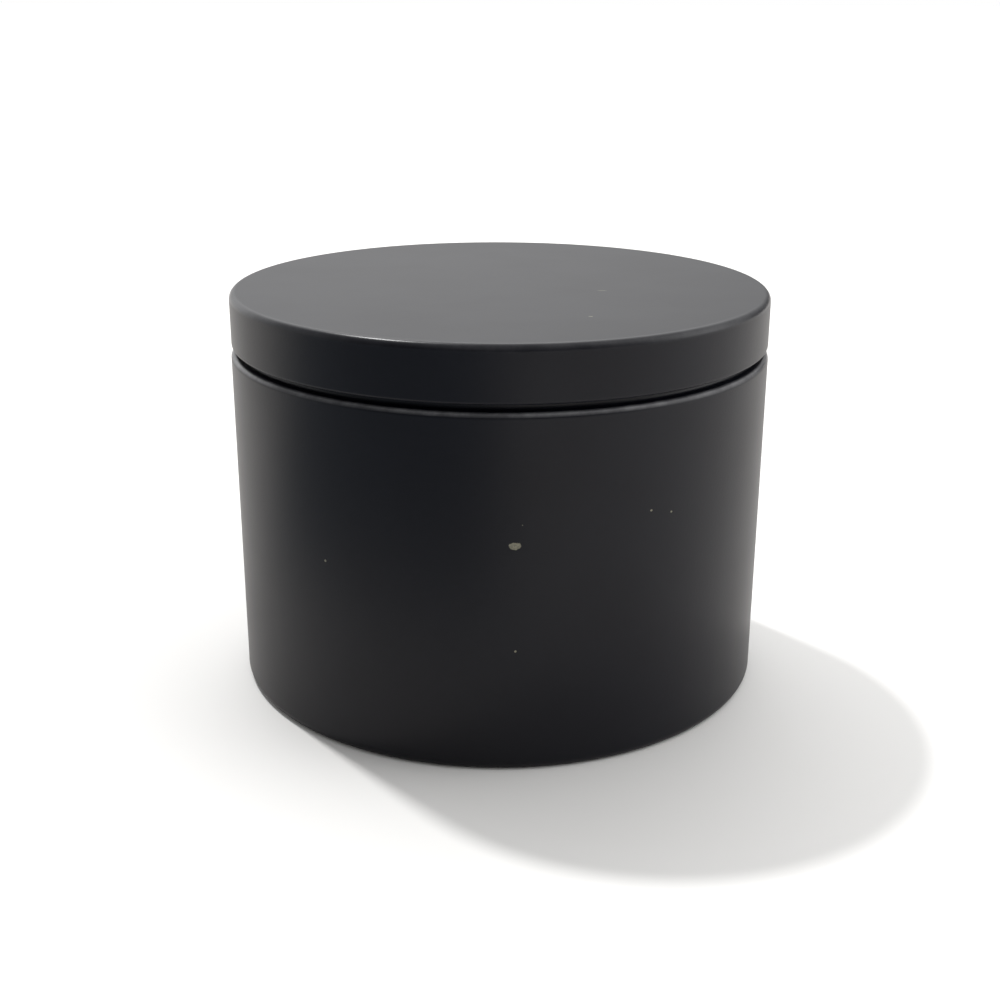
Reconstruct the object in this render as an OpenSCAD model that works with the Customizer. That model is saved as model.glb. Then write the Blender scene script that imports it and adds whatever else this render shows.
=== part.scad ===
// Round candle tin with a slip-over lid, holding a container candle.
// The tin and the lid are drawn from thin tinplate. The body is necked in at the top, the lid
// slips over the neck and rests on its rolled rim, and a narrow gap shows above the shoulder.
// Origin: centre of the base, on the surface that the tin stands on. +Z is up.

/* [Tin] */
// Overall height with the lid on
tin_h = 58; // [45:1:90]
// Outer diameter of the lid
lid_d = 78; // [60:1:100]
// Thickness of the tinplate sheet
sheet_t = 0.28; // [0.2:0.02:0.4]

/* [Lid] */
// Height of the lid, from its hem to its flat top
lid_h = 7.6; // [6:0.1:12]
// Outer radius of the edge between the flat top and the skirt
lid_edge_r = 1.0; // [0.6:0.1:2]
// Diameter of the roll that hems the lower edge of the skirt
hem_d = 1.4; // [1.2:0.1:2]

/* [Body] */
// How much wider the body is than the lid
body_extra_d = 0.2; // [0:0.1:1]
// Gap between the lid's hem and the body's shoulder
shoulder_gap = 1.0; // [0.4:0.1:2]
// Outer radius of the shoulder's edge
shoulder_r = 0.8; // [0.5:0.1:0.8]
// Radius in the corner where the neck rises from the shoulder
neck_root_r = 0.5; // [0.3:0.1:0.5]
// Diameter of the roll at the rim of the neck
rim_d = 1.2; // [1:0.1:1.6]
// Outer radius of the corner between the wall and the base
base_corner_r = 1.2; // [0.6:0.1:3]
// Width of the ring that the tin stands on, from the wall to the raised panel in the base
base_ring_w = 6.1; // [4:0.1:10]
// How far the panel is raised above that ring
panel_rise = 0.5; // [0.3:0.1:1]

/* [Candle] */
// Depth from the rim of the neck down to the wax
headspace = 11.7; // [10:0.1:20]
// Diameter of the braided wick
wick_d = 2.5; // [1.5:0.1:3]
// Length of wick that stands above the wax
wick_trim = 6; // [3:0.5:8]
// Diameter of the sustainer's disc
sustainer_d = 20; // [12:1:30]
// Height of the sustainer's collar above its disc
collar_h = 5; // [3:0.5:8]
// Outer diameter of the collar
collar_d = 3.3; // [3.2:0.1:5]
// Thickness of the adhesive sticker
sticker_t = 0.8; // [0.4:0.1:1.5]

/* [Fit] */
// Radial clearance between the lid's hem and the neck
neck_clearance = 0.1; // [0.05:0.05:0.3]
// Clearance between the lid's underside and the rim of the neck
rest_clearance = 0.03; // [0.01:0.01:0.1]

/* [Hidden] */
$fn = 144;

lid_r = lid_d / 2;
body_r = (lid_d + body_extra_d) / 2;
neck_r = lid_r - hem_d - neck_clearance;
hem_z = tin_h - lid_h;
shoulder_z = hem_z - shoulder_gap;
rim_z = tin_h - sheet_t - rest_clearance;
floor_z = panel_rise + sheet_t;
wax_z = rim_z - headspace;

sustainer_t = 0.3;
sustainer_z = floor_z + sticker_t;
collar_z = sustainer_z + sustainer_t;
foot_r = collar_d / 2 + 1.2;      // foot of the cone that stiffens the collar
foot_h = 1;                       // height of that cone
raw_edge_gap = 0.3;               // slit between a roll's raw edge and the wall
pass = 1;                         // how far a cutter runs past a face

// Half section of a solid round block, from z0 to z1, with its two outer corners rounded
// to the radii low_r and high_r.
module block_section(r, z0, z1, low_r, high_r) {
    translate([0, z0 + low_r]) square([r, z1 - z0 - low_r - high_r]);
    translate([0, z0]) square([r - low_r, z1 - z0 - high_r]);
    translate([0, z0 + low_r]) square([r - high_r, z1 - z0 - low_r]);
    translate([r - low_r, z0 + low_r]) circle(r = low_r);
    translate([r - high_r, z1 - high_r]) circle(r = high_r);
}

// Half section of a concave corner fillet, centred on [x, z] and filling towards the axis.
module root_fillet(x, z, r) {
    difference() {
        translate([x - r, z - r]) square(r);
        translate([x, z]) circle(r = r);
    }
}

// Half section of the shallow rise that the base panel makes above the height z, with a
// 45 degree edge that starts at the radius r.
module panel_section(r, z) {
    polygon([[0, z - pass], [r + pass, z - pass], [r - panel_rise, z + panel_rise], [0, z + panel_rise]]);
}

// Half section of the body's outside shape, up to top_z, shrunk everywhere by t.
// With t = 0 it is the outside, and with t = sheet_t it is the space inside.
module body_section(t, top_z) {
    root_x = neck_r + neck_root_r;
    root_z = shoulder_z + neck_root_r;
    difference() {
        union() {
            block_section(body_r - t, t, shoulder_z - t, base_corner_r - t, shoulder_r - t);
            translate([0, t]) square([neck_r - t, top_z - t]);
            root_fillet(root_x, root_z, neck_root_r + t);
        }
        panel_section(body_r - base_ring_w + t * tan(22.5), t);
    }
}

// Half section of a rolled sheet edge of diameter d, centred on [x, z], with a slit at the
// sheet's raw end. side is 1 when the slit faces up and -1 when it faces down.
module roll_section(x, z, d, side) {
    translate([x, z]) difference() {
        circle(r = d / 2);
        circle(r = d / 2 - sheet_t);
        translate([d / 2 - sheet_t - raw_edge_gap, side > 0 ? 0 : -d]) square([raw_edge_gap, d]);
    }
}

// Drawn body: wall, base with a raised panel, rounded shoulder, stepped neck and rolled rim.
module tin_body() {
    rim_cut_z = rim_z - rim_d / 2;
    color([0.05, 0.05, 0.055]) rotate_extrude() {
        difference() {
            body_section(0, rim_cut_z);
            body_section(sheet_t, rim_cut_z + pass);
        }
        roll_section(neck_r - rim_d / 2, rim_cut_z, rim_d, -1);
    }
}

// Drawn lid: flat top, rounded edge, short skirt and a hem that is rolled inwards.
module lid() {
    roll_z = hem_z + hem_d / 2;
    color([0.06, 0.06, 0.065]) rotate_extrude() {
        difference() {
            block_section(lid_r, roll_z, tin_h, 0, lid_edge_r);
            block_section(lid_r - sheet_t, roll_z - pass, tin_h - sheet_t, 0, lid_edge_r - sheet_t);
        }
        roll_section(lid_r - hem_d / 2, roll_z, hem_d, 1);
    }
}

// Double-sided adhesive disc that holds the sustainer to the floor of the tin.
module wick_sticker() {
    color([0.93, 0.92, 0.86]) translate([0, 0, floor_z]) cylinder(d = sustainer_d, h = sticker_t);
}

// Pressed steel disc with a collar that grips the wick and keeps it upright.
module wick_sustainer() {
    color([0.72, 0.72, 0.7]) difference() {
        union() {
            translate([0, 0, sustainer_z]) cylinder(d = sustainer_d, h = sustainer_t);
            translate([0, 0, collar_z]) cylinder(r1 = foot_r, r2 = collar_d / 2, h = foot_h);
            translate([0, 0, collar_z]) cylinder(d = collar_d, h = collar_h);
        }
        translate([0, 0, sustainer_z - pass]) cylinder(d = wick_d, h = collar_h + sustainer_t + 2 * pass);
    }
}

// Braided cotton wick, from the sticker up through the collar and the wax.
module wick() {
    color([0.92, 0.9, 0.84]) translate([0, 0, sustainer_z])
        cylinder(d = wick_d, h = wax_z + wick_trim - sustainer_z);
}

// Poured wax: it fills the tin up to its level and sets round the sticker, collar and wick.
module wax_fill() {
    color([0.95, 0.93, 0.86]) difference() {
        rotate_extrude() intersection() {
            body_section(sheet_t, rim_z);
            square([body_r, wax_z]);
        }
        translate([0, 0, floor_z - pass]) cylinder(d = sustainer_d, h = sticker_t + sustainer_t + pass);
        translate([0, 0, collar_z]) cylinder(r1 = foot_r, r2 = collar_d / 2, h = foot_h);
        translate([0, 0, collar_z - pass]) cylinder(d = collar_d, h = collar_h + pass);
        translate([0, 0, collar_z]) cylinder(d = wick_d, h = wax_z);
    }
}

tin_body();
wick_sticker();
wick_sustainer();
wick();
wax_fill();
lid();
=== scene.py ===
"""A round candle tin with a slip-over lid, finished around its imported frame. Metres, +Z up."""

import math

import bmesh
import bpy
from mathutils import Matrix, Vector, noise


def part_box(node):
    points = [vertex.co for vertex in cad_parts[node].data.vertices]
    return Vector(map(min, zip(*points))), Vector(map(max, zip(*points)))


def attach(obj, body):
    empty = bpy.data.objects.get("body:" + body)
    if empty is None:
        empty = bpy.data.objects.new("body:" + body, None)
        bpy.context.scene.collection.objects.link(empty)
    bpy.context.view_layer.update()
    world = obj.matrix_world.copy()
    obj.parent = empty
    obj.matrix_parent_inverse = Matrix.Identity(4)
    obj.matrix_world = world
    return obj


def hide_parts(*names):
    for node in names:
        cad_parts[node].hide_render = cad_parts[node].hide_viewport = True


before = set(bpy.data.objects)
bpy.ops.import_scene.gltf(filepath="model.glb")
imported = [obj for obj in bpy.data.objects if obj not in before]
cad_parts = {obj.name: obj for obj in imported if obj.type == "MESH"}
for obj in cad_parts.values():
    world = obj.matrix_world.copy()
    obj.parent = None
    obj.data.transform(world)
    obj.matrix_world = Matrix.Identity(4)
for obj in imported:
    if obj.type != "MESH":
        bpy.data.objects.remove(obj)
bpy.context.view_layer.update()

# --- Tin body ---------------------------------------------------------------------------------
# The body is drawn from one blank of tinplate, so its wall has no seam. The press necks it in
# above the shoulder and rolls the rim inwards. Outside it is sprayed with a matte black lacquer,
# and inside it is bare tinplate. It stands on a narrow ring round the raised panel of its base.
MM = 0.001
SHEET = 0.28 * MM
TURN_STEPS = 256
body_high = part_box("tin_body")[1]
lid_low, lid_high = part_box("lid")
wax_low, wax_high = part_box("wax_fill")

tin_r = body_high.x
rim_z = body_high.z
base_bend = 1.2 * MM
base_ring = 6.1 * MM
panel_rise = 0.5 * MM
shoulder_gap = 1.0 * MM
shoulder_z = lid_low.z - shoulder_gap
shoulder_bend = 0.8 * MM
neck_inset = 1.5 * MM
neck_r = lid_high.x - neck_inset
neck_root = 0.5 * MM
rim_roll = 0.6 * MM
loop_gap, loop_share = 0.15 * MM, 0.3
weld_gap = 0.001 * MM


def start_line(x, z):
    """Starts the line that a sheet follows, seen in section, at a radius and a height."""
    line = bmesh.new()
    return line, line.verts.new((x, 0, z))


def run(line, tip, x, z):
    """Carries the line straight on, with a short step at each end so the flats stay flat."""
    start, end = tip.co.copy(), Vector((x, 0, z))
    way = (end - start) * min(loop_gap / (end - start).length, loop_share)
    for place in (start + way, end - way, end):
        tip = bmesh.ops.extrude_vert_indiv(line, verts=[tip])["verts"][0]
        tip.co = place
    return tip


def bend(line, tip, x, z, degrees, steps):
    """Bends the line about a centre. Positive degrees turn it from +X towards +Z."""
    made = bmesh.ops.spin(line, geom=[tip], cent=(x, 0, z), axis=(0, -1, 0),
                          angle=math.radians(degrees), steps=steps)
    return made["geom_last"][0]


def spin_sheet(line, name, body, steps, upwards=False):
    """Spins a line into a shell that rides on a body. Its widest face looks away from the axis,
    or up where upwards is set."""
    bmesh.ops.spin(line, geom=line.verts[:] + line.edges[:], cent=(0, 0, 0), axis=(0, 0, 1),
                   angle=2 * math.pi, steps=steps, use_merge=True)
    bmesh.ops.remove_doubles(line, verts=line.verts, dist=weld_gap)
    bmesh.ops.recalc_face_normals(line, faces=line.faces)
    widest = max(line.faces, key=lambda face: face.calc_center_median().xy.length)
    away = Vector((0, 0, 1)) if upwards else widest.calc_center_median() * Vector((1, 1, 0))
    if widest.normal.dot(away) < 0:
        bmesh.ops.reverse_faces(line, faces=line.faces)
    for face in line.faces:
        face.smooth = True
    mesh = bpy.data.meshes.new(name)
    line.to_mesh(mesh)
    line.free()
    piece = bpy.data.objects.new(name, mesh)
    bpy.context.scene.collection.objects.link(piece)
    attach(piece, body)
    return piece


def give_thickness(piece, thickness):
    """Gives a shell the thickness of its sheet, inwards, with the second material inside."""
    wall = piece.modifiers.new("sheet thickness", "SOLIDIFY")
    wall.thickness = thickness
    wall.offset = -1
    wall.use_even_offset = True
    wall.material_offset = 1


panel_r = tin_r - base_ring
body_line, tip = start_line(0, panel_rise)
tip = run(body_line, tip, panel_r - panel_rise, panel_rise)
tip = run(body_line, tip, panel_r, 0)
tip = run(body_line, tip, tin_r - base_bend, 0)
tip = bend(body_line, tip, tin_r - base_bend, base_bend, 90, 10)
tip = run(body_line, tip, tin_r, shoulder_z - shoulder_bend)
tip = bend(body_line, tip, tin_r - shoulder_bend, shoulder_z - shoulder_bend, 90, 10)
tip = run(body_line, tip, neck_r + neck_root, shoulder_z)
tip = bend(body_line, tip, neck_r + neck_root, shoulder_z + neck_root, -90, 6)
tip = run(body_line, tip, neck_r, rim_z - rim_roll)
tip = bend(body_line, tip, neck_r - rim_roll, rim_z - rim_roll, 270, 24)
tin = spin_sheet(body_line, "drawn_body", "tin", TURN_STEPS)
give_thickness(tin, SHEET)


def put(tree, kind, inputs=None, **settings):
    """Adds a node to a tree, sets it up, and joins or sets each input that is given."""
    made = tree.nodes.new(kind)
    for name, value in settings.items():
        setattr(made, name, value)
    for name, value in (inputs or {}).items():
        if isinstance(value, bpy.types.NodeSocket):
            tree.links.new(value, made.inputs[name])
        else:
            made.inputs[name].default_value = value
    return made


def sums(tree, operation, first, second=0.5, clamp=False):
    """One step of arithmetic on values in a tree."""
    return put(tree, "ShaderNodeMath", {0: first, 1: second}, operation=operation,
               use_clamp=clamp).outputs[0]


def rise(tree, value, low, high):
    """A smooth 0 to 1 as the value goes from low to high."""
    return put(tree, "ShaderNodeMapRange", {"Value": value, "From Min": low, "From Max": high},
               interpolation_type="SMOOTHSTEP").outputs["Result"]


def new_effect(name, inputs, outputs):
    """Starts a node group that several materials share. Returns it with its two end nodes."""
    group = bpy.data.node_groups.new(name, "ShaderNodeTree")
    for label, kind, value in inputs:
        socket = group.interface.new_socket(label, in_out="INPUT", socket_type=kind)
        socket.default_value = value
    for label, kind in outputs:
        group.interface.new_socket(label, in_out="OUTPUT", socket_type=kind)
    return group, group.nodes.new("NodeGroupInput"), group.nodes.new("NodeGroupOutput")


def place(tree, group, inputs):
    """Places a shared effect in a material with that material's own values."""
    return put(tree, "ShaderNodeGroup", inputs, node_tree=group)


def new_finish(name):
    """Starts a material. Returns it, its tree, its shader and its object coordinates."""
    finish = bpy.data.materials.new(name)
    finish.use_nodes = True
    tree = finish.node_tree
    shader = tree.nodes["Principled BSDF"]
    return finish, tree, shader, put(tree, "ShaderNodeTexCoord").outputs["Object"]


def join(tree, source, shader, socket):
    """Feeds a socket of a material's shader."""
    tree.links.new(source, shader.inputs[socket])


def blend(tree, share, low, high):
    """A colour between two, each given as red, green and blue or as a socket."""
    low, high = [colour if isinstance(colour, bpy.types.NodeSocket) else (*colour, 1)
                 for colour in (low, high)]
    mixed = put(tree, "ShaderNodeMix", {0: share, 6: low, 7: high}, data_type="RGBA")
    return mixed.outputs[2]


def dents(tree, height, strength, depth):
    """The normal of a surface that a height pattern dents by a real depth."""
    return put(tree, "ShaderNodeBump", {"Height": height, "Strength": strength,
               "Distance": depth}).outputs["Normal"]


FLOAT, VECTOR = "NodeSocketFloat", "NodeSocketVector"

# Sprayed lacquer dries with a fine pebbled skin, and handling leaves it a little smoother in
# broad patches.
lacquer_skin, ends, out = new_effect(
    "lacquer skin",
    [("Place", VECTOR, (0, 0, 0)), ("Pebble", FLOAT, 3200.0), ("Patch", FLOAT, 60.0)],
    [("Height", FLOAT), ("Smoothed", FLOAT)])
pebble = put(lacquer_skin, "ShaderNodeTexNoise", {"Vector": ends.outputs["Place"],
             "Scale": ends.outputs["Pebble"], "Detail": 2.0, "Roughness": 0.55}).outputs["Fac"]
patch = put(lacquer_skin, "ShaderNodeTexNoise", {"Vector": ends.outputs["Place"],
            "Scale": ends.outputs["Patch"], "Detail": 3.0, "Roughness": 0.5}).outputs["Fac"]
lacquer_skin.links.new(pebble, out.inputs["Height"])
lacquer_skin.links.new(rise(lacquer_skin, patch, 0.35, 0.65), out.inputs["Smoothed"])

# A ring along an edge is painted paler, in broken stretches, and polished smoother. On the lid's
# edge, which other tins and fingers touch, the paling is a rub. On the body's shoulder it is a
# painted highlight.
rub_and_highlight_ring, ends, out = new_effect(
    "edge rub and painted highlight", [("Place", VECTOR, (0, 0, 0)), ("Radius", FLOAT, 0.039), ("Height", FLOAT, 0.0),
                 ("Width", FLOAT, 0.0006)], [("Rub and highlight", FLOAT), ("Polished", FLOAT)])
parts = put(rub_and_highlight_ring, "ShaderNodeSeparateXYZ", {"Vector": ends.outputs["Place"]})
flat = put(rub_and_highlight_ring, "ShaderNodeCombineXYZ", {"X": parts.outputs["X"], "Y": parts.outputs["Y"]})
across = sums(rub_and_highlight_ring, "SUBTRACT", put(rub_and_highlight_ring, "ShaderNodeVectorMath",
              {0: flat.outputs[0]}, operation="LENGTH").outputs["Value"], ends.outputs["Radius"])
along = sums(rub_and_highlight_ring, "SUBTRACT", parts.outputs["Z"], ends.outputs["Height"])
off = put(rub_and_highlight_ring, "ShaderNodeCombineXYZ", {"X": across, "Y": along})
far = put(rub_and_highlight_ring, "ShaderNodeVectorMath", {0: off.outputs[0]}, operation="LENGTH").outputs["Value"]
near = sums(rub_and_highlight_ring, "SUBTRACT", 1.0, sums(rub_and_highlight_ring, "DIVIDE", far, ends.outputs["Width"]), True)
broken = put(rub_and_highlight_ring, "ShaderNodeTexNoise", {"Vector": ends.outputs["Place"], "Scale": 240.0,
             "Detail": 4.0, "Roughness": 0.65}).outputs["Fac"]
faintest_share = 0.45
breaks = sums(rub_and_highlight_ring, "MULTIPLY", rise(rub_and_highlight_ring, broken, 0.35, 0.7), 1 - faintest_share)
ring_share = sums(rub_and_highlight_ring, "ADD", faintest_share, breaks)
rub_and_highlight_ring.links.new(sums(rub_and_highlight_ring, "MULTIPLY", near, ring_share), out.inputs["Rub and highlight"])
rub_and_highlight_ring.links.new(rise(rub_and_highlight_ring, near, 0.1, 0.55), out.inputs["Polished"])

# Dust settles as sparse pale points, a few tenths of a millimetre across and smaller.
dust, ends, out = new_effect(
    "dust", [("Place", VECTOR, (0, 0, 0)), ("Spacing", FLOAT, 160.0), ("Size", FLOAT, 0.02)],
    [("Dust", FLOAT)])
cells = put(dust, "ShaderNodeTexVoronoi", {"Vector": ends.outputs["Place"],
            "Scale": ends.outputs["Spacing"]}, feature="F1")
chosen = put(dust, "ShaderNodeSeparateColor", {"Color": cells.outputs["Color"]}).outputs["Red"]
reach = sums(dust, "MULTIPLY", ends.outputs["Size"], rise(dust, chosen, 0.82, 1.0))
inside = sums(dust, "SUBTRACT", reach, cells.outputs["Distance"])
dust.links.new(sums(dust, "MULTIPLY", inside, 120.0, True), out.inputs["Dust"])

# A chip is a small ragged spot where the lacquer has come off down to the pale primer.
chip, ends, out = new_effect(
    "chip", [("Place", VECTOR, (0, 0, 0)), ("Centre", VECTOR, (0, 0, 0)),
             ("Stretch", VECTOR, (1, 1, 1)), ("Radius", FLOAT, 0.0005)], [("Chipped", FLOAT)])
ragged = put(chip, "ShaderNodeTexNoise", {"Vector": ends.outputs["Place"], "Scale": 2100.0,
             "Detail": 3.0}).outputs["Fac"]
away = put(chip, "ShaderNodeVectorMath", {0: ends.outputs["Place"], 1: ends.outputs["Centre"]},
           operation="SUBTRACT").outputs[0]
shaped = put(chip, "ShaderNodeVectorMath", {0: away, 1: ends.outputs["Stretch"]},
             operation="MULTIPLY").outputs[0]
gap = sums(chip, "DIVIDE", put(chip, "ShaderNodeVectorMath", {0: shaped},
           operation="LENGTH").outputs["Value"], ends.outputs["Radius"])
gap = sums(chip, "ADD", gap, sums(chip, "MULTIPLY", sums(chip, "SUBTRACT", ragged, 0.5), 0.7))
chip.links.new(sums(chip, "SUBTRACT", 1.0, rise(chip, gap, 0.8, 1.1)), out.inputs["Chipped"])


black_plain, black_smoothed = (0.0025, 0.0028, 0.006), (0.0035, 0.004, 0.0075)
rub_and_highlight_grey, dust_grey, dust_cover = (0.25, 0.25, 0.26), (0.2, 0.2, 0.2), 0.35
primer_pale, primer_dark = (0.25, 0.235, 0.175), (0.17, 0.165, 0.125)
lacquer_rough, smoothing, lacquer_gloss = 0.39, 0.012, 0.222
pebble_relief, pebble_depth = 0.12, 0.06 * MM


def black_lacquer(name, rub_and_highlight_rings, chips):
    """Matte black lacquer, paled along the given rings (rubs and painted highlights) and chipped at the
    given spots.

    A ring is its radius, height, width, how far it is paled and how far it is polished. A chip
    is its centre, its stretch along each axis and its radius.
    """
    finish, tree, shader, where = new_finish(name)
    skin = place(tree, lacquer_skin, {"Place": where})
    specks = place(tree, dust, {"Place": where}).outputs["Dust"]
    rub_and_highlight, polish = 0.0, 0.0
    for radius, height, width, paled, polished in rub_and_highlight_rings:
        ring = place(tree, rub_and_highlight_ring, {"Place": where, "Radius": radius, "Height": height,
                                      "Width": width}).outputs
        rub_and_highlight = sums(tree, "MAXIMUM", sums(tree, "MULTIPLY", ring["Rub and highlight"], paled), rub_and_highlight)
        polish = sums(tree, "MAXIMUM", sums(tree, "MULTIPLY", ring["Polished"], polished), polish)
    bare = 0.0
    for centre, stretch, radius in chips:
        spot = place(tree, chip, {"Place": where, "Centre": centre, "Stretch": stretch,
                                  "Radius": radius})
        bare = sums(tree, "MAXIMUM", spot.outputs["Chipped"], bare)
    colour = blend(tree, skin.outputs["Smoothed"], black_plain, black_smoothed)
    # The rings' paling: a rub on the lid's edge and a painted highlight on the body's shoulder.
    colour = blend(tree, rub_and_highlight, colour, rub_and_highlight_grey)
    colour = blend(tree, sums(tree, "MULTIPLY", specks, dust_cover), colour, dust_grey)
    primer = blend(tree, rise(tree, skin.outputs["Height"], 0.35, 0.6), primer_pale, primer_dark)
    colour = blend(tree, bare, colour, primer)
    join(tree, colour, shader, "Base Color")
    smoothed = sums(tree, "MULTIPLY", skin.outputs["Smoothed"], smoothing)
    rough = sums(tree, "SUBTRACT", lacquer_rough, smoothed)
    join(tree, sums(tree, "SUBTRACT", rough, polish), shader, "Roughness")
    relief = sums(tree, "SUBTRACT", skin.outputs["Height"], bare)
    join(tree, dents(tree, relief, pebble_relief, pebble_depth), shader, "Normal")
    shader.inputs["Specular IOR Level"].default_value = lacquer_gloss
    return finish


def on_wall(degrees, height):
    """A place on the wall at a height, some degrees round from the front towards +X."""
    turn = math.radians(degrees)
    return tin_r * math.sin(turn), -tin_r * math.cos(turn), height


round_spot, narrow_spot, ragged_spot = (1, 1, 1), (0.7, 1, 1), (0.78, 1, 1.15)
# The pale ring along the shoulder's rounded edge is a painted highlight; its polish lowers the roughness
# there.
body_lacquer = black_lacquer(
    "black lacquer, body",
    rub_and_highlight_rings=[(tin_r - 0.3 * MM, shoulder_z - 0.2 * MM, 0.5 * MM, 0.75, 0.1)],
    chips=[(on_wall(2.9, 32.1 * MM), ragged_spot, 0.6 * MM),
           (on_wall(3.2, 17.5 * MM), round_spot, 0.16 * MM),
           (on_wall(-35.9, 27.1 * MM), round_spot, 0.18 * MM),
           (on_wall(30.1, 35.1 * MM), narrow_spot, 0.14 * MM),
           (on_wall(35.0, 34.3 * MM), narrow_spot, 0.14 * MM),
           (on_wall(4.3, 34.9 * MM), round_spot, 0.06 * MM)])
tin.data.materials.append(body_lacquer)

# Bare tinplate inside the tin: a satin silver skin with the faint rings that drawing leaves.
tin_dull, tin_bright = (0.56, 0.56, 0.55), (0.68, 0.67, 0.65)
ring_squeeze = (1, 1, 14)
tinplate, tree, shader, where = new_finish("bare tinplate")
stretched = put(tree, "ShaderNodeMapping", {"Vector": where, "Scale": ring_squeeze}).outputs[0]
drawn = put(tree, "ShaderNodeTexNoise", {"Vector": stretched, "Scale": 420.0, "Detail": 4.0,
            "Roughness": 0.6}).outputs["Fac"]
cloud = put(tree, "ShaderNodeTexNoise", {"Vector": where, "Scale": 90.0, "Detail": 3.0}).outputs["Fac"]
join(tree, blend(tree, cloud, tin_dull, tin_bright), shader, "Base Color")
brushed = put(tree, "ShaderNodeMapRange", {"Value": drawn, "To Min": 0.24, "To Max": 0.4})
join(tree, brushed.outputs[0], shader, "Roughness")
join(tree, dents(tree, drawn, 0.1, 0.04 * MM), shader, "Normal")
shader.inputs["Metallic"].default_value = 1.0
tin.data.materials.append(tinplate)
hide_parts("tin_body")

# --- Wick sticker -------------------------------------------------------------------------------
# A die-cut disc of double-sided foam tape that holds the sustainer to the floor of the tin. Its
# edges are a little soft where the weight of the wax has pressed it.
sticker_low, sticker_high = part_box("wick_sticker")
soft_edge = 0.2 * MM
foam_line, tip = start_line(0, sticker_low.z)
tip = run(foam_line, tip, sticker_high.x - soft_edge, sticker_low.z)
tip = bend(foam_line, tip, sticker_high.x - soft_edge, sticker_low.z + soft_edge, 90, 4)
tip = run(foam_line, tip, sticker_high.x, sticker_high.z - soft_edge)
tip = bend(foam_line, tip, sticker_high.x - soft_edge, sticker_high.z - soft_edge, 90, 4)
tip = run(foam_line, tip, 0, sticker_high.z)
sticker = spin_sheet(foam_line, "foam_sticker", "tin", 96)

foam_shade, foam_pale = (0.82, 0.79, 0.7), (0.9, 0.88, 0.81)
foam, tree, shader, where = new_finish("foam tape")
cells = put(tree, "ShaderNodeTexVoronoi", {"Vector": where, "Scale": 4200.0}).outputs["Distance"]
tone = put(tree, "ShaderNodeTexNoise", {"Vector": where, "Scale": 300.0, "Detail": 3.0}).outputs["Fac"]
join(tree, blend(tree, tone, foam_shade, foam_pale), shader, "Base Color")
join(tree, sums(tree, "ADD", 0.75, sums(tree, "MULTIPLY", tone, 0.2)), shader, "Roughness")
join(tree, dents(tree, cells, 0.4, 0.06 * MM), shader, "Normal")
sticker.data.materials.append(foam)
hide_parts("wick_sticker")

# --- Wick sustainer -----------------------------------------------------------------------------
# One pressing of tinned steel: a flat disc with a stiffening bead, and a collar drawn up from
# its middle and crimped flat on four sides to grip the wick.
sustainer_low, sustainer_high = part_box("wick_sustainer")
steel_t = 0.3 * MM
disc_z = sustainer_low.z + steel_t
collar_r = 1.65 * MM
foot_r, foot_z = 2.85 * MM, disc_z + 1.0 * MM
bead_r, bead_h = 7.0 * MM, 0.12 * MM
crimp_reach, crimp_depth = 1.3 * MM, 0.09
steel_line, tip = start_line(collar_r, sustainer_high.z)
collar_heights = 8
for step in range(1, collar_heights + 1):
    down = (foot_z - sustainer_high.z) * step / collar_heights
    tip = run(steel_line, tip, collar_r, sustainer_high.z + down)
tip = run(steel_line, tip, foot_r, disc_z)
tip = run(steel_line, tip, bead_r - 2 * bead_h, disc_z)
tip = run(steel_line, tip, bead_r, disc_z + bead_h)
tip = run(steel_line, tip, bead_r + 2 * bead_h, disc_z)
tip = run(steel_line, tip, sustainer_high.x, disc_z)
sustainer = spin_sheet(steel_line, "pressed_sustainer", "tin", 96, upwards=True)
crimp_z = (foot_z + sustainer_high.z) / 2
for point in sustainer.data.vertices:
    height = 1 - abs(point.co.z - crimp_z) / crimp_reach
    if height > 0 and point.co.xy.length < foot_r:
        side = abs(math.cos(2 * math.atan2(point.co.y, point.co.x)))
        point.co.xy *= 1 - crimp_depth * height * side ** 4
give_thickness(sustainer, steel_t)

steel_dull, steel_bright = (0.52, 0.51, 0.48), (0.66, 0.65, 0.62)
pressed, tree, shader, where = new_finish("tinned steel")
sheen = put(tree, "ShaderNodeTexNoise", {"Vector": where, "Scale": 900.0, "Detail": 3.0}).outputs["Fac"]
join(tree, blend(tree, sheen, steel_dull, steel_bright), shader, "Base Color")
join(tree, sums(tree, "ADD", 0.22, sums(tree, "MULTIPLY", sheen, 0.2)), shader, "Roughness")
join(tree, dents(tree, sheen, 0.15, 0.02 * MM), shader, "Normal")
shader.inputs["Metallic"].default_value = 1.0
sustainer.data.materials.append(pressed)
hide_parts("wick_sustainer")

# --- Wick ---------------------------------------------------------------------------------------
# Eight cotton yarns, four to each hand, braided over and under round a straight core. The wick
# is primed with wax, stands on the sticker, and is cut level a few millimetres above the wax,
# where no two yarns end at quite the same height.
wick_low, wick_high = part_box("wick")
wax_z = wax_high.z
yarns_each_way = 4
yarn_r = 0.40 * MM
core_r = 0.55 * MM
braid_r = 0.64 * MM
weave = 0.20 * MM
braid_lay = 9.0 * MM
lean = 0.35 * MM
yarn_step = 0.2 * MM
spare = 0.6 * MM
end_step = 0.01 * MM


def leaning(height):
    """How far the free end of the wick leans to one side at a height."""
    free = max(0.0, (height - wax_z) / (wick_high.z - wax_z))
    return lean * free * free


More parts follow.
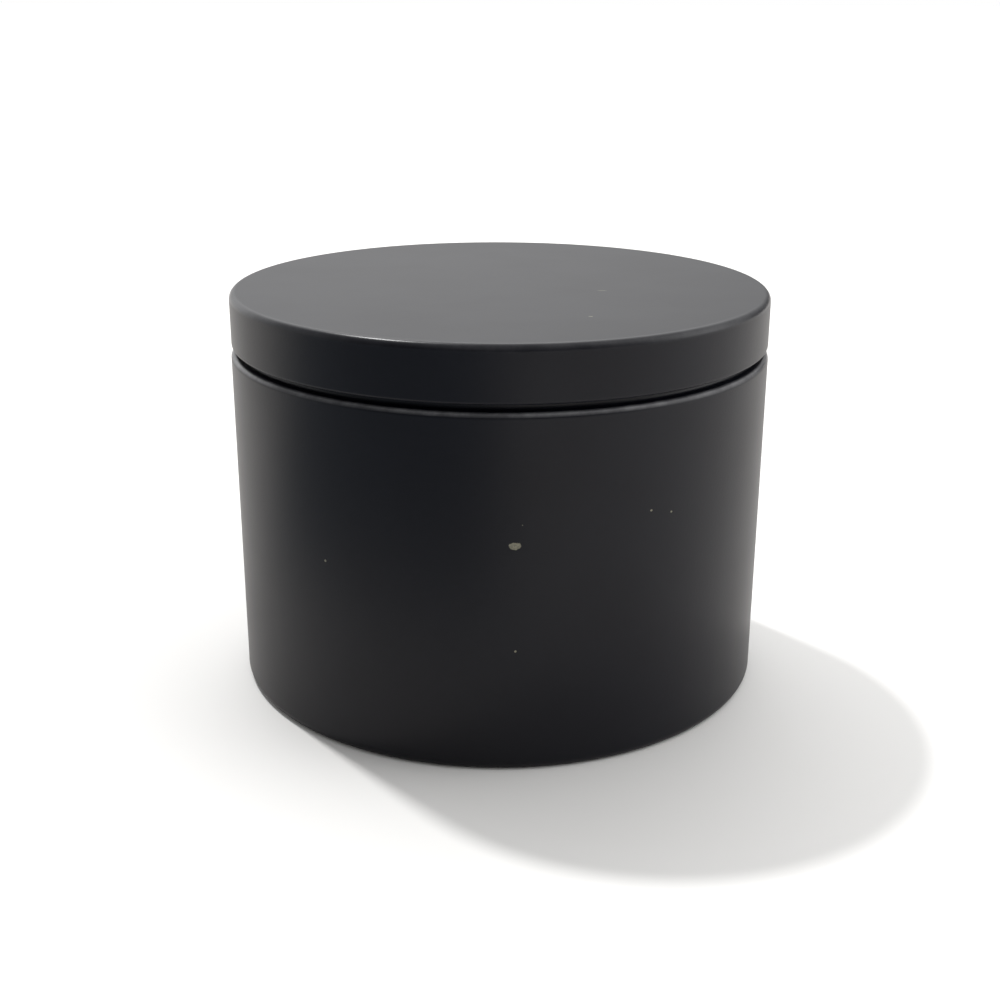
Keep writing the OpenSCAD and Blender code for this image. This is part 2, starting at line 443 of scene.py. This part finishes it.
def add_yarn(braid, radius, start_turn, hand):
    """Adds one yarn of the braid. hand is 1 or -1 for the way it winds, and 0 for the core."""
    steps = round((wick_high.z - wick_low.z + 2 * spare) / yarn_step)
    yarn = braid.splines.new("POLY")
    yarn.points.add(steps)
    for step, point in enumerate(yarn.points):
        height = wick_low.z - spare + (wick_high.z - wick_low.z + 2 * spare) * step / steps
        turn = 2 * math.pi * (height - wick_low.z) / braid_lay
        out_by = abs(hand) * (braid_r + hand * weave * math.cos(yarns_each_way * turn))
        angle = start_turn + hand * turn
        point.co = (out_by * math.cos(angle) + leaning(height), out_by * math.sin(angle), height, 1)
        point.radius = radius / yarn_r


braid = bpy.data.curves.new("braid", "CURVE")
braid.dimensions = "3D"
braid.bevel_depth = yarn_r
braid.bevel_resolution = 2
for hand in (1, -1):
    for yarn in range(yarns_each_way):
        add_yarn(braid, yarn_r, 2 * math.pi * yarn / yarns_each_way, hand)
add_yarn(braid, core_r, 0, 0)
braid_curve = bpy.data.objects.new("braid_curve", braid)
bpy.context.scene.collection.objects.link(braid_curve)
bpy.context.view_layer.update()
drawn_braid = braid_curve.evaluated_get(bpy.context.evaluated_depsgraph_get())
braid_mesh = bpy.data.meshes.new_from_object(drawn_braid)
bpy.data.objects.remove(braid_curve)
cut = bmesh.new()
cut.from_mesh(braid_mesh)
for height, upwards in ((wick_low.z, -1), (wick_high.z, 1)):
    sliced = bmesh.ops.bisect_plane(cut, geom=cut.verts[:] + cut.edges[:] + cut.faces[:],
                                    plane_co=(0, 0, height), plane_no=(0, 0, upwards),
                                    clear_outer=True)
    rims = [part for part in sliced["geom_cut"] if isinstance(part, bmesh.types.BMEdge)]
    for number, end in enumerate(bmesh.ops.holes_fill(cut, edges=rims)["faces"]):
        bmesh.ops.translate(cut, verts=end.verts[:], vec=(0, 0, -upwards * number * end_step))
bmesh.ops.recalc_face_normals(cut, faces=cut.faces)
for face in cut.faces:
    face.smooth = abs(face.normal.z) < 0.99
cut.to_mesh(braid_mesh)
cut.free()
wick = bpy.data.objects.new("braided_wick", braid_mesh)
bpy.context.scene.collection.objects.link(wick)

cotton_waxed, cotton_dry = (0.66, 0.6, 0.47), (0.95, 0.92, 0.84)
cotton, tree, shader, where = new_finish("primed cotton")
along_yarn = put(tree, "ShaderNodeMapping", {"Vector": where, "Scale": (1, 1, 0.35)}).outputs[0]
fibre = put(tree, "ShaderNodeTexNoise", {"Vector": along_yarn, "Scale": 9000.0,
            "Detail": 3.0}).outputs["Fac"]
soaked = put(tree, "ShaderNodeTexNoise", {"Vector": where, "Scale": 500.0, "Detail": 2.0}).outputs["Fac"]
dryness = sums(tree, "MULTIPLY", fibre, soaked)
join(tree, blend(tree, dryness, cotton_waxed, cotton_dry), shader, "Base Color")
join(tree, sums(tree, "SUBTRACT", 0.85, sums(tree, "MULTIPLY", soaked, 0.3)), shader, "Roughness")
join(tree, dents(tree, fibre, 0.6, 0.05 * MM), shader, "Normal")
wick.data.materials.append(cotton)
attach(wick, "tin")
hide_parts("wick")

# --- Wax ----------------------------------------------------------------------------------------
# Soy wax poured into the tin, set round the wick. It creeps up the wall and the wick a little
# as it sets, and its top stays slightly uneven, with the pale bloom that soy wax gets.
wax_r = wax_high.x
floor_z = sticker_low.z
wall_creep_r, wall_creep = 2.2 * MM, 40
wick_creep_r, wick_creep = 1.2 * MM, 55
creep_w = wall_creep_r * math.sin(math.radians(wall_creep))
creep_h = wall_creep_r * (1 - math.cos(math.radians(wall_creep)))
wick_foot = 1.1 * MM + wick_creep_r * math.sin(math.radians(wick_creep))
wax_rings = 14
swell, ripple = 0.07 * MM, 0.025 * MM
wax_line, tip = start_line(0, floor_z)
tip = run(wax_line, tip, panel_r - panel_rise, floor_z)
tip = run(wax_line, tip, panel_r, wax_low.z)
tip = run(wax_line, tip, wax_r - base_bend + SHEET, wax_low.z)
tip = bend(wax_line, tip, wax_r - base_bend + SHEET, wax_low.z + base_bend - SHEET, 90, 8)
tip = run(wax_line, tip, wax_r, wax_z + creep_h)
tip = bend(wax_line, tip, wax_r - creep_w, wax_z + wall_creep_r, -wall_creep, 6)
for ring in range(1, wax_rings + 1):
    inwards = (wax_r - creep_w - wick_foot) * ring / wax_rings
    tip = run(wax_line, tip, wax_r - creep_w - inwards, wax_z)
tip = bend(wax_line, tip, wick_foot, wax_z + wick_creep_r, -wick_creep, 6)
tip = run(wax_line, tip, 0, wax_z)
wax = spin_sheet(wax_line, "poured_wax", "tin", 160)
for point in wax.data.vertices:
    if point.co.z > wax_z - 0.1 * MM:
        point.co.z += swell * noise.noise(point.co * 90) + ripple * noise.noise(point.co * 330)

wax_plain, wax_frosted = (0.83, 0.76, 0.6), (0.9, 0.86, 0.74)
soy_wax, tree, shader, where = new_finish("soy wax")
bloom = put(tree, "ShaderNodeTexNoise", {"Vector": where, "Scale": 130.0, "Detail": 6.0, "Roughness": 0.62,
            "Distortion": 0.6}).outputs["Fac"]
crystal = put(tree, "ShaderNodeTexNoise", {"Vector": where, "Scale": 1500.0, "Detail": 3.0}).outputs["Fac"]
frosted = rise(tree, bloom, 0.45, 0.7)
join(tree, blend(tree, frosted, wax_plain, wax_frosted), shader, "Base Color")
join(tree, sums(tree, "ADD", 0.38, sums(tree, "MULTIPLY", frosted, 0.17)), shader, "Roughness")
join(tree, dents(tree, sums(tree, "ADD", crystal, bloom), 0.25, 0.08 * MM), shader, "Normal")
shader.inputs["Subsurface Weight"].default_value = 0.6
shader.inputs["Subsurface Radius"].default_value = (1.0, 0.65, 0.4)
shader.inputs["Subsurface Scale"].default_value = 2.5 * MM
wax.data.materials.append(soy_wax)
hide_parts("wax_fill")

# --- Lid --------------------------------------------------------------------------------------
# The lid is drawn in one stroke: a flat top, a tight bend and a short skirt. Its lower edge is
# rolled inwards and pressed a little flat, into a hem that slips over the neck. It has the same
# lacquer as the body outside, and is bare inside.
lid_r = lid_high.x
lid_bend = 1.0 * MM
hem_d, hem_bend = 1.4 * MM, 0.4 * MM
lid_line, tip = start_line(0, lid_high.z)
tip = run(lid_line, tip, lid_r - lid_bend, lid_high.z)
tip = bend(lid_line, tip, lid_r - lid_bend, lid_high.z - lid_bend, -90, 12)
tip = run(lid_line, tip, lid_r, lid_low.z + hem_bend)
tip = bend(lid_line, tip, lid_r - hem_bend, lid_low.z + hem_bend, -90, 8)
tip = run(lid_line, tip, lid_r - hem_d + hem_bend, lid_low.z)
tip = bend(lid_line, tip, lid_r - hem_d + hem_bend, lid_low.z + hem_bend, -90, 8)
tip = run(lid_line, tip, lid_r - hem_d, lid_low.z + hem_d - hem_bend)
tip = bend(lid_line, tip, lid_r - hem_d + hem_bend, lid_low.z + hem_d - hem_bend, -90, 8)
tip = run(lid_line, tip, lid_r - hem_d / 2, lid_low.z + hem_d)
lid = spin_sheet(lid_line, "drawn_lid", "lid", TURN_STEPS)
give_thickness(lid, SHEET)
dash, speck = (0.25, 1.4, 1), (0.6, 1.2, 1)
# The ring along the lid's top edge is a light rub, and its polish lowers the roughness there.
lid_lacquer = black_lacquer(
    "black lacquer, lid",
    rub_and_highlight_rings=[(lid_r - 0.3 * MM, lid_high.z - 0.3 * MM, 0.9 * MM, 0.12, 0.1)],
    chips=[((14.6 * MM, -4.8 * MM, lid_high.z), dash, 0.18 * MM),
           ((11.9 * MM, -22.5 * MM, lid_high.z), speck, 0.2 * MM)])
lid.data.materials.append(lid_lacquer)
lid.data.materials.append(tinplate)
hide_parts("lid")

# --- Floor, light and camera ------------------------------------------------------------------
# A white table, a bright soft backdrop and a small key light high at the back left. The camera
# sees the table evenly white, but the light it passes on to the tin is painted darker towards its
# far front left corner, a painted shade that shows only in the tin's reflections. The table has an
# opening under the tin so that the base can be seen from below. The camera stands at the front
# and looks down at the lid.
table_seen = (0.885, 0.878, 0.864, 1)
table_near, table_far_shade = (0.86, 0.835, 0.81), (0.27, 0.3, 0.33)
table_r, opening_r = 30.0, 37.5 * MM
dim_start, dim_end, dim_side = 0.075, 0.115, 0.03
floor_mesh = bpy.data.meshes.new("floor")
floor_bm = bmesh.new()
bmesh.ops.create_circle(floor_bm, cap_ends=True, segments=96, radius=table_r)
floor_bm.to_mesh(floor_mesh)
floor_bm.free()
floor = bpy.data.objects.new("floor", floor_mesh)
bpy.context.scene.collection.objects.link(floor)
paper = bpy.data.materials.new("white table")
paper.use_nodes = True
tree = paper.node_tree
tree.nodes.clear()
seen = put(tree, "ShaderNodeBsdfDiffuse", {"Color": table_seen})
spot = put(tree, "ShaderNodeTexCoord").outputs["Object"]
spot_parts = put(tree, "ShaderNodeSeparateXYZ", {"Vector": spot})
reach = put(tree, "ShaderNodeVectorMath", {0: spot}, operation="LENGTH").outputs["Value"]
front = rise(tree, spot_parts.outputs["Y"], dim_side, -dim_side)
left = rise(tree, spot_parts.outputs["X"], dim_side, -dim_side)
# Painted shade: the light the table passes on fades towards its far front left corner.
painted_corner_shade = sums(tree, "MULTIPLY", rise(tree, reach, dim_start, dim_end), sums(tree, "MULTIPLY", front, left))
bounced = put(tree, "ShaderNodeBsdfDiffuse", {"Color": blend(tree, painted_corner_shade, table_near, table_far_shade)})
below = put(tree, "ShaderNodeBsdfTransparent")
ray = put(tree, "ShaderNodeLightPath")
shown = put(tree, "ShaderNodeMixShader", {"Fac": ray.outputs["Is Camera Ray"], 1: bounced.outputs[0],
            2: seen.outputs[0]})
from_below = put(tree, "ShaderNodeNewGeometry").outputs["Backfacing"]
under_tin = sums(tree, "LESS_THAN", reach, opening_r)
sides = put(tree, "ShaderNodeMixShader", {"Fac": sums(tree, "MAXIMUM", from_below, under_tin),
            1: shown.outputs[0], 2: below.outputs[0]})
put(tree, "ShaderNodeOutputMaterial", {"Surface": sides.outputs[0]})
floor_mesh.materials.append(paper)

world = bpy.data.worlds.new("studio")
bpy.context.scene.world = world
world.use_nodes = True
tree = world.node_tree
tree.nodes.clear()
towards = put(tree, "ShaderNodeTexCoord").outputs["Generated"]


def glow(direction, spread, strength):
    """A soft patch of light in one direction; a larger spread number makes it tighter."""
    facing = put(tree, "ShaderNodeVectorMath", {0: towards, 1: Vector(direction).normalized()},
                 operation="DOT_PRODUCT").outputs["Value"]
    lobe = sums(tree, "POWER", sums(tree, "MAXIMUM", facing, 0.0), spread)
    return sums(tree, "MULTIPLY", lobe, strength)


glows = [((0, 0.74, 0.67), 10, 3.25), ((0.53, 0.53, 0.67), 10, 0.61),
         ((-0.69, 0.69, 0.21), 10, 1.6), ((-0.98, 0, 0.21), 10, 0.85),
         ((0.98, 0, 0.21), 10, 2.9), ((0.74, 0, 0.67), 10, 1.77),
         ((0, -0.74, 0.67), 10, 0.65), ((0, 0, 1), 8, 0.63), ((0, 0, -1), 2, 0.8)]
light = 0.0
for direction, spread, strength in glows:
    light = sums(tree, "ADD", glow(direction, spread, strength), light)
lit = put(tree, "ShaderNodeBackground", {"Color": (1, 1, 1, 1), "Strength": light})
backdrop = put(tree, "ShaderNodeBackground", {"Color": (1, 1, 1, 1), "Strength": 1.0})
ray = put(tree, "ShaderNodeLightPath")
mixed = put(tree, "ShaderNodeMixShader", {"Fac": ray.outputs["Is Camera Ray"], 1: lit.outputs[0],
            2: backdrop.outputs[0]})
put(tree, "ShaderNodeOutputWorld", {"Surface": mixed.outputs[0]})

towards_key = Vector((-0.327, 0.387, 0.8625))
key = bpy.data.lights.new("key", "SUN")
key.energy = 1.7
key.angle = math.radians(3.5)
key_light = bpy.data.objects.new("key", key)
key_light.rotation_euler = towards_key.to_track_quat("Z", "Y").to_euler()
bpy.context.scene.collection.objects.link(key_light)

camera_back, camera_up = 5.3116 * lid_r, 2.4894 * lid_r
look_down, look_aside, camera_roll = 19.285, -0.033, 0.214
camera_data = bpy.data.cameras.new("camera")
camera_data.lens = 51.44
camera_data.sensor_width = 36.0
camera_data.clip_start = 0.01
camera = bpy.data.objects.new("camera", camera_data)
stand = Matrix.Translation((0, -camera_back, camera_up))
aside = Matrix.Rotation(math.radians(look_aside), 4, "Z")
tilt = Matrix.Rotation(math.radians(90 - look_down), 4, "X")
camera.matrix_world = stand @ aside @ tilt @ Matrix.Rotation(math.radians(camera_roll), 4, "Z")
bpy.context.scene.collection.objects.link(camera)
bpy.context.scene.camera = camera
bpy.context.scene.view_settings.view_transform = "Standard"
